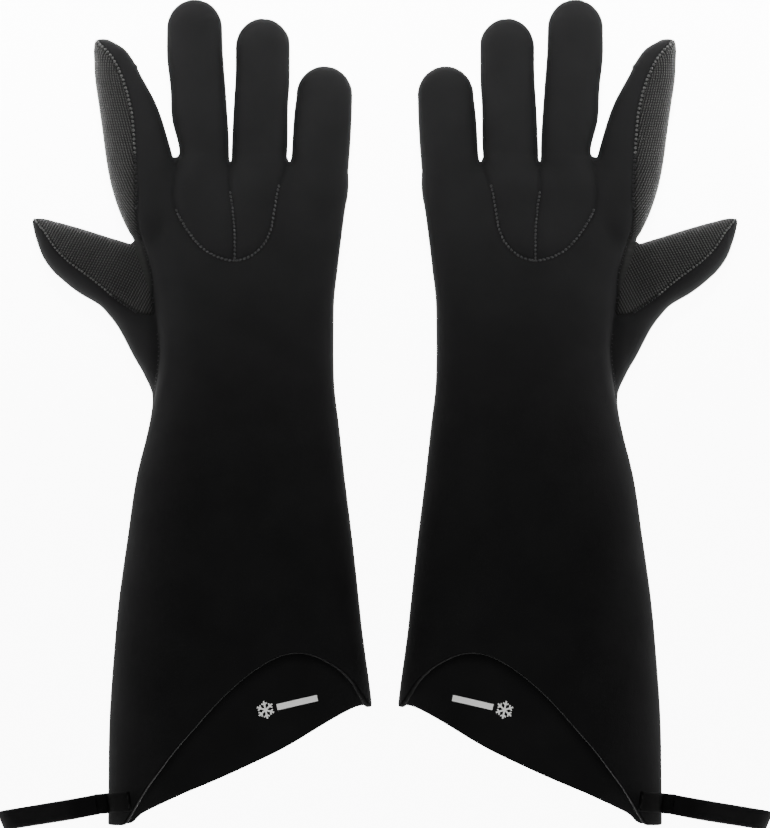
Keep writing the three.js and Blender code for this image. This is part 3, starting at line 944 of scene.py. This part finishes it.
class Nodes:
    """Short calls for making a material's nodes."""

    def __init__(self, name):
        self.material = bpy.data.materials.new(name)
        self.material.use_nodes = True
        self.tree = self.material.node_tree
        self.shader = self.tree.nodes["Principled BSDF"]

    def add(self, kind, inputs=None, **settings):
        node = self.tree.nodes.new(kind)
        for key, value in settings.items():
            setattr(node, key, value)
        for key, value in (inputs or {}).items():
            self.feed(node, key, value)
        return node

    def feed(self, node, key, value):
        if isinstance(value, bpy.types.NodeSocket):
            self.tree.links.new(value, node.inputs[key])
        else:
            node.inputs[key].default_value = value

    def maths(self, operation, a, b=0.0):
        return self.add("ShaderNodeMath", {0: a, 1: b}, operation=operation).outputs[0]

    def texture(self, kind, scale, **inputs):
        """A texture node laid out by the place on the object."""
        place_on_object = self.add("ShaderNodeTexCoord").outputs["Object"]
        return self.add("ShaderNodeTex" + kind, {"Vector": place_on_object, "Scale": scale, **inputs})

    def noise(self, scale, detail=3.0):
        return self.texture("Noise", scale, Detail=detail, Roughness=0.55).outputs[0]

    def ramp(self, value, start, end, low, high, **settings):
        """Low up to start, high from end on, and a slope between them."""
        inputs = {0: value, 1: start, 2: end, 3: low, 4: high}
        return self.add("ShaderNodeMapRange", inputs, **settings).outputs[0]

    def between(self, share, low, high):
        return self.ramp(share, 0.0, 1.0, low, high)

    def seam_distance(self):
        return self.add("ShaderNodeAttribute", attribute_name="SeamDistance").outputs["Fac"]

    def mix(self, share, low, high):
        node = self.add("ShaderNodeMix", {0: share}, data_type="RGBA")
        for socket, value in ((6, low), (7, high)):
            self.feed(node, socket, (*value, 1) if isinstance(value, tuple) else value)
        return node.outputs[2]

    def bump(self, height, distance, strength=1.0, **under):
        inputs = {"Height": height, "Distance": distance, "Strength": strength, **under}
        return self.add("ShaderNodeBump", inputs).outputs[0]

    def finish(self, **inputs):
        for key, value in inputs.items():
            self.feed(self.shader, key.replace("_", " "), value)
        return self.material

    def finish_by(self, pattern, low, high, rough, relief, **inputs):
        """A finish whose colour, roughness and relief all follow one pattern."""
        tone = self.mix(pattern, low, high)
        roughness = self.between(pattern, *rough)
        normal = self.bump(pattern, relief, 0.6)
        return self.finish(Base_Color=tone, Roughness=roughness, Normal=normal, **inputs)


def jersey(name, colour, sheen):
    """Matt black jersey laminated to foam: fine knit, soft sheen, slow variation, a little lint, and painted
    shade along the seams.
    """
    n = Nodes(name)
    cloud = n.noise(38, 4.0)
    tone = n.mix(n.between(cloud, 0.15, 0.85), scaled(colour, 0.72), scaled(colour, 1.55))
    lint = n.ramp(n.noise(1400, 2.0), 0.70, 0.82, 0.0, 0.35)
    tone = n.mix(lint, tone, scaled(colour, 4.5))
    # Darker within about 2 mm of a seam: painted shade in the seam's groove.
    seam_shade = n.ramp(n.seam_distance(), 0.0, 2.2, 0.75, 1.0)
    tone = n.mix(seam_shade, scaled(colour, 0.5), tone)
    knit = n.bump(n.noise(1700), 0.00012, 0.6)
    soft = n.bump(n.noise(210), 0.00025, 0.5, Normal=knit)
    return n.finish(
        Base_Color=tone, Roughness=n.between(cloud, 0.78, 0.95), Normal=soft, Sheen_Weight=sheen,
        Sheen_Roughness=0.45, Specular_IOR_Level=0.0,
    )


def grip_fabric(name, valley_shade, crown):
    """Waffle of small raised squares, a little shiny on their tops, with painted shade in the valleys
    between them and along the seams.
    """
    n = Nodes(name)
    uv = n.add("ShaderNodeUVMap", uv_map="Weave").outputs[0]
    split = n.add("ShaderNodeSeparateXYZ", {0: uv})
    ridges = []
    for socket, narrow in zip(split.outputs, (0.30, 0.12)):
        angle = n.maths("MULTIPLY", socket, math.pi / WEAVE_PITCH)
        wave = n.maths("ABSOLUTE", n.maths("SINE", angle))
        ridges.append(n.ramp(wave, narrow, 0.9, 0.0, 1.0, interpolation_type="SMOOTHSTEP"))
    square = n.maths("MULTIPLY", ridges[0], n.between(ridges[1], 0.35, 1.0))
    # The valleys between the squares take the dark colour as painted shade; the noise varies the squares'
    # tops at random.
    crown_share_and_wear = n.maths("MULTIPLY", square, n.between(n.noise(60), 0.75, 1.15))
    # Darker still beside a seam: painted shade in the seam's groove.
    seam_shade = n.ramp(n.seam_distance(), 0.0, 1.8, 0.0, 1.0)
    tone = n.mix(seam_shade, scaled(valley_shade, 0.4), n.mix(crown_share_and_wear, valley_shade, crown))
    fibre = n.bump(n.noise(3000, 2.0), 0.00008, 0.4)
    relief = n.bump(square, 0.00045, Normal=fibre)
    return n.finish(
        Base_Color=tone, Roughness=n.between(square, 0.9, 0.55), Normal=relief, Sheen_Weight=0.02,
        Sheen_Roughness=0.4, Specular_IOR_Level=0.05,
    )


def thread(name, colour):
    """Twisted sewing thread."""
    n = Nodes(name)
    twist = n.texture("Wave", 900.0, Distortion=1.5)
    twist.bands_direction = "DIAGONAL"
    low, high = scaled(colour, 0.55), scaled(colour, 1.3)
    shine = {"Sheen_Weight": 0.02, "Specular_IOR_Level": 0.08}
    return n.finish_by(twist.outputs["Fac"], low, high, (0.75, 0.5), 0.0001, **shine)


def foam_edge(name, colour):
    """Cut edge of the sheet: fine closed cells."""
    n = Nodes(name)
    cells = n.texture("Voronoi", 1900.0).outputs["Distance"]
    low, high = scaled(colour, 0.7), scaled(colour, 1.4)
    return n.finish_by(cells, low, high, (0.7, 0.9), 0.00012, Specular_IOR_Level=0.02)


def print_ink(name):
    """White screen print, thin enough for the knit to show through."""
    n = Nodes(name)
    return n.finish_by(n.noise(1500), (0.74, 0.74, 0.72), (0.92, 0.92, 0.9), (0.75, 0.5), 0.00005)


def webbing(name, colour, shine):
    """Bound strap: fine ribs across it."""
    n = Nodes(name)
    wave = n.texture("Wave", 700.0, Distortion=0.4).outputs["Fac"]
    tone = n.mix(n.between(n.noise(90), 0.1, 0.9), scaled(colour, 0.75), scaled(colour, 1.5))
    fuzz = n.bump(n.noise(2400, 2.0), 0.0001, 0.5)
    ribs = n.bump(wave, 0.00012, 0.5, Normal=fuzz)
    return n.finish(
        Base_Color=tone, Roughness=n.between(wave, 0.85, 0.65), Normal=ribs,
        Sheen_Weight=0.5 * shine, Sheen_Roughness=0.4, Specular_IOR_Level=shine,
    )


BLACK = (0.0070, 0.0070, 0.0071)
MATERIALS = {
    "jersey": jersey("jersey", BLACK, 0.03),
    # The lining is the same jersey, painted 1.1 times lighter as painted light inside the cuff.
    "lining": jersey("lit_lining_jersey", scaled(BLACK, 1.1), 0.02),
    "grip": grip_fabric("grip_fabric", (0.0040, 0.0040, 0.0040), (0.027, 0.027, 0.026)),
    "edge": foam_edge("cut_edge", (0.0018, 0.0018, 0.0018)),
    "thread": thread("seam_thread", (0.042, 0.042, 0.041)),
    "dark_thread": thread("dark_seam_thread", (0.026, 0.026, 0.026)),
    "black_thread": thread("black_seam_thread", (0.008, 0.008, 0.008)),
    "strap": webbing("loop_strap", (0.0044, 0.0044, 0.0045), 0.02),
    # The tab is the same strap as the loop, painted a little darker as shade where it lies on the cuff.
    "tab": webbing("tab_strap_painted_shade", (0.0038, 0.0038, 0.0038), 0.005),
    "ink": print_ink("print_ink"),
}
THREADS = {
    "index_seam_stitching": "thread",
    "thumb_seam_stitching": "thread",
    "back_seam_stitching": "dark_thread",
}


# ---- making the pieces ----
def add_panels(skin, side):
    points, triangles, source, face = thickened(skin)
    normals = point_normals(points, triangles)
    panels = panel_names(skin)[source]
    layouts = np.array(weave_coordinates(skin.points))
    zones = weave_zone(skin)[source]
    outer_count = len(skin.points)
    seam_distance = np.full(len(points), 9.0)
    seam_distance[:outer_count] = np.minimum(skin.seam_distance, 9.0)
    for panel in sorted(set(panels)):
        chosen = panels == panel
        used, local = np.unique(triangles[chosen], return_inverse=True)
        mine = local.reshape(-1, 3)
        name = f"{side}_{panel}"
        obj = new_mesh(name + "_skin", points[used], mine, side, normals[used])
        mesh = obj.data
        outside = "grip" if "grip" in panel else "jersey"
        for key in (outside, "lining", "edge"):
            mesh.materials.append(MATERIALS[key])
        mesh.polygons.foreach_set("material_index", face[chosen].tolist())
        attribute = mesh.attributes.new("SeamDistance", "FLOAT", "POINT")
        attribute.data.foreach_set("value", seam_distance[used].astype(np.float32))
        if outside == "grip":
            corners = triangles[chosen]
            on_outside = corners < outer_count
            flat = layouts[zones[chosen][:, None], np.where(on_outside, corners, 0)]
            flat[~on_outside] = 0
            if side == "left":
                flat = flat[:, ::-1]
            layer = mesh.uv_layers.new(name="Weave")
            layer.data.foreach_set("uv", flat.ravel())
        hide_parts(name)
        hang_on(obj, panel, side)


# Each row of stitches: the cut it follows, its pitch, and a stitch's half size across it, along it and up.
STITCH_ROWS = {
    "index": ("back", 2.35, (0.85, 0.90, 0.50)),
    "edge": ("back", 2.4, (0.5, 0.35, 0.3)),
    "thumb": ("thumb", 2.05, (0.65, 0.82, 0.42)),
    "knuckle": ("knuckle", 2.25, (0.64, 0.94, 0.42)),
    "midline": ("midline", 2.1, (0.60, 0.90, 0.40)),
}
INDEX_ROW_START = 106  # Y where the bold stitches beside the index finger begin
INDEX_TIP = (-137, 186)
EDGE_ROW_START = -212
TURNED_EDGE_START = -60  # from here up, the seam on the index side shows as a turned edge
THUMB_ROW_END = -128
KNUCKLE_ARMS = (107, 121)  # Y where the arms of the U end, on the index side and on the other side
KNUCKLE_MIDDLE = -80
MIDLINE_END = 117


def stitched(p):
    """For each row of stitches, which points of its cut have them."""
    x, y, _ = p.T
    index_edge = np.abs(line_distance(p, LINES["index"])) < 0.3
    bold = index_edge & (y > INDEX_ROW_START) | (y > INDEX_TIP[1]) & (x < INDEX_TIP[0])
    back = back_field(p) > 1.0
    return {
        "index": bold,
        "edge": ~bold & (y > EDGE_ROW_START) & ~(index_edge & (y > TURNED_EDGE_START)),
        "thumb": ~back & (x < THUMB_ROW_END),
        "knuckle": back & (y < np.where(x < KNUCKLE_MIDDLE, *KNUCKLE_ARMS)),
        "midline": back & (y < MIDLINE_END) & (line_distance(p, LINES["knuckle"]) < -0.5),
    }


def add_stitches(skin, side):
    """Rows of stitches along every seam, as one piece for each finger, the thumb, the back seams and the
    palm edge.
    """
    groups = {}
    for row, wanted in stitched(skin.points).items():
        cut, pitch, size = STITCH_ROWS[row]
        centres, points = stitches(skin, cut, wanted, pitch, size)
        on_finger = fingers_field(centres) < 0
        on_thumb = thumb_zone_field(centres) < 0
        which = finger_distances(centres).argmin(axis=0)
        for i in range(len(centres)):
            if on_finger[i]:
                key = list(FINGER_ZONES)[which[i]] + "_seam_stitching"
            elif on_thumb[i]:
                key = "thumb_seam_stitching"
            elif cut in ("knuckle", "midline"):
                key = "back_seam_stitching"
            else:
                key = "palm_edge_stitching"
            groups.setdefault(key, []).append(points[i])
    for key, beads in groups.items():
        name = f"{side}_{key}"
        triangles = np.vstack([BEAD_TRIANGLES + len(BEAD) * i for i in range(len(beads))])
        obj = new_mesh(name + "_thread", np.vstack(beads), triangles, side)
        obj.data.materials.append(MATERIALS[THREADS.get(key, "black_thread")])
        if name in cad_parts:
            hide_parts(name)
        if key == "palm_edge_stitching":
            hang_on(obj, "hand_back_panel", side)
        elif key == "back_seam_stitching":
            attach(obj, side + "_hand")
        else:
            hang_on(obj, key, side)


def add_strap_and_mark(skin, side):
    points, triangles, _, _ = thickened(skin)
    tree = BVHTree.FromPolygons(points.tolist(), triangles.tolist())
    loop = new_mesh(side + "_hanging_loop_strap", *loop_geometry(), side)
    tab = new_mesh(side + "_loop_tab_strap", *tab_geometry(tree), side)
    mark = new_mesh(side + "_printed_mark", *mark_geometry(tree), side)
    for obj, material in ((loop, "strap"), (tab, "tab"), (mark, "ink")):
        obj.data.materials.append(MATERIALS[material])
    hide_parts(side + "_hanging_loop")
    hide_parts(side + "_loop_tab")
    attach(tab, side + "_gauntlet")
    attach(mark, side + "_gauntlet")
    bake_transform(loop)


skin = make_skin()
shape_seams(skin)
for side in ("right", "left"):
    add_panels(skin, side)
    add_stitches(skin, side)
    add_strap_and_mark(skin, side)


# ---- floor, light and camera ----
CAMERA_HEIGHT = 5.0
CAMERA_Y = -0.0002
FOCUS_HEIGHT = 0.015  # the height at which VIEW_LENGTH holds
VIEW_LENGTH = 0.4335  # the stretch of table that the longer side of the picture shows
SENSOR = 36
FLOOR_GLOW = 10.0  # the floor is a light table, as for a product cut out on white
FLOOR_Z = -0.0003
FLOOR_HALF = 3.0
WORLD_LIGHT = 0.10
SIDE_LIGHT = {"size": (0.15, 0.35), "power": 0.42, "spread": 32}
LIGHTS = {
    "overhead_softbox": {"at": (0, 0, 3.2), "towards": (0, 0, 0), "size": (0.7, 0.7), "power": 76},
    "fingertip_softbox": {
        "at": (0, 0.75, 1.1), "towards": (0, 0.24, 0), "size": (1.0, 0.12), "power": 2.6, "spread": 21,
    },
    "right_side_softbox": {"at": (-0.8, 0.11, 0.13), "towards": (-0.16, 0.11, 0), **SIDE_LIGHT},
    "left_side_softbox": {"at": (0.8, 0.11, 0.13), "towards": (0.16, 0.11, 0), **SIDE_LIGHT},
}


def add_floor():
    mesh = bpy.data.meshes.new("floor")
    corners = [(x * FLOOR_HALF, y * FLOOR_HALF, FLOOR_Z) for x, y in ((-1, -1), (1, -1), (1, 1), (-1, 1))]
    mesh.from_pydata(corners, [], [(0, 1, 2, 3)])
    n = Nodes("pale_floor")
    tone = n.mix(n.noise(2.0), (0.88, 0.88, 0.88), (0.9, 0.9, 0.9))
    glow = {"Emission_Color": (1, 1, 1, 1), "Emission_Strength": FLOOR_GLOW}
    mesh.materials.append(n.finish(Base_Color=tone, Roughness=0.9, **glow))
    in_scene("floor", mesh)


def add_light(name, at, towards, size, power, spread=180):
    light = bpy.data.lights.new(name, "AREA")
    light.shape = "RECTANGLE"
    light.size, light.size_y = size
    light.energy = power
    light.spread = math.radians(spread)
    obj = in_scene(name, light)
    obj.location = at
    obj.rotation_euler = (Vector(towards) - Vector(at)).to_track_quat("-Z", "Y").to_euler()


def add_camera():
    camera = bpy.data.cameras.new("camera")
    camera.sensor_width = SENSOR
    camera.lens = SENSOR * (CAMERA_HEIGHT - FOCUS_HEIGHT) / VIEW_LENGTH
    camera.clip_end = 20
    obj = in_scene("camera", camera)
    obj.location = (0, CAMERA_Y, CAMERA_HEIGHT)
    bpy.context.scene.camera = obj


def add_world():
    world = bpy.data.worlds.new("studio")
    world.use_nodes = True
    background = world.node_tree.nodes["Background"]
    background.inputs[0].default_value = (1, 1, 1, 1)
    background.inputs[1].default_value = WORLD_LIGHT
    bpy.context.scene.world = world


add_floor()
for name, light in LIGHTS.items():
    add_light(name, **light)
add_world()
add_camera()
